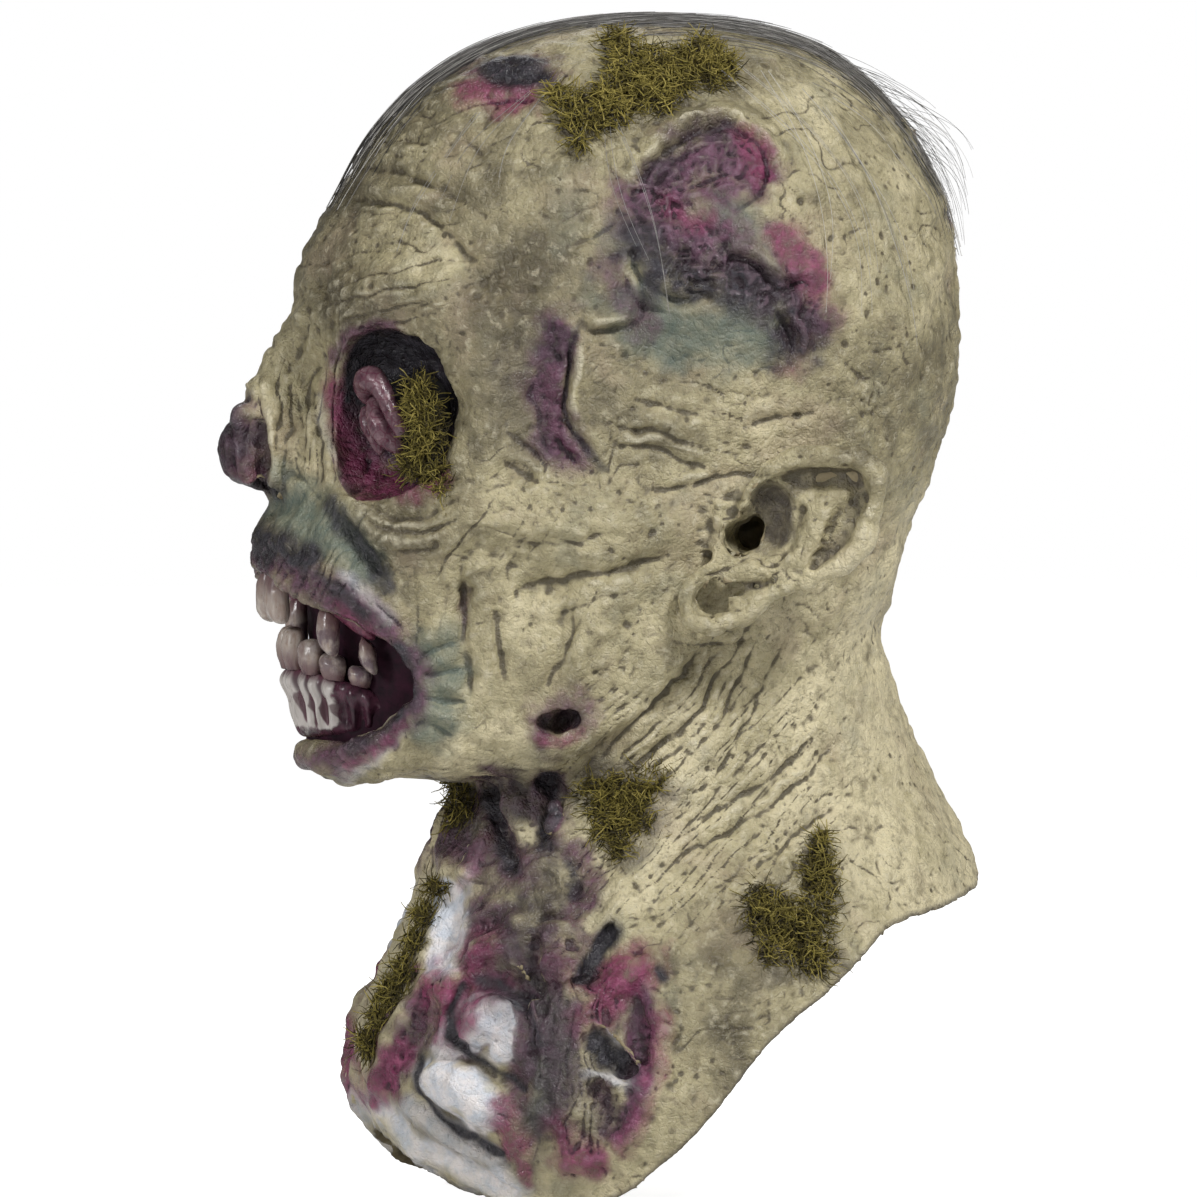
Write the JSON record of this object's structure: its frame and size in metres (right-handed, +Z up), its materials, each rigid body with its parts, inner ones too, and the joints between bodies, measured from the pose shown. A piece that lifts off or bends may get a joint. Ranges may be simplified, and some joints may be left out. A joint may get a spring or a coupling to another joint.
{
  "type": "overhead latex mask",
  "caption": "Full-head latex mask of a rotting undead creature with a chest bib, open mouth with set-in teeth, screened eye sockets, glued moss tufts and thin hair.",
  "frame": {"origin": "midway between the two ear canals, where the wearer's head sits", "axes": "+Z up through the crown, -Y out through the nose, +X towards the wearer's left ear"},
  "size_m": [0.1948, 0.26, 0.3943],
  "materials": {
    "latex": "painted latex, satin",
    "gauze": "black see-through mesh",
    "raw_tissue": "glossy painted latex",
    "gum": "glossy painted latex",
    "jaw_bone": "painted latex, satin",
    "tooth": "stained enamel",
    "moss": "dried matted fibre",
    "hair": "synthetic strands"
  },
  "bodies": {
    "root": {"latex_skin": "latex", "left_eye_screen": "gauze", "right_eye_screen": "gauze", "left_eye_tissue": "raw_tissue", "right_eye_tissue": "raw_tissue", "upper_gum": "gum", "lower_gum": "jaw_bone", "upper_left_incisor": "tooth", "upper_left_canine": "tooth", "upper_left_molar": "tooth", "upper_right_incisor": "tooth", "upper_right_canine": "tooth", "upper_right_molar": "tooth", "lower_left_incisor": "tooth", "lower_left_canine": "tooth", "lower_left_premolar": "tooth", "lower_left_molar": "tooth", "lower_right_incisor": "tooth", "lower_right_canine": "tooth", "lower_right_premolar": "tooth", "lower_right_molar": "tooth", "moss_crown_main": "moss", "moss_crown_front": "moss", "moss_crown_strip": "moss", "moss_jaw": "moss", "moss_shoulder_lower": "moss", "moss_shoulder_upper": "moss", "moss_sternum": "moss", "moss_throat": "moss", "moss_eye": "moss", "hair_back_left": "hair", "hair_back_right": "hair", "hair_front_left": "hair", "hair_front_right": "hair", "hair_stray_lock": "hair"}
  },
  "joints": []
}
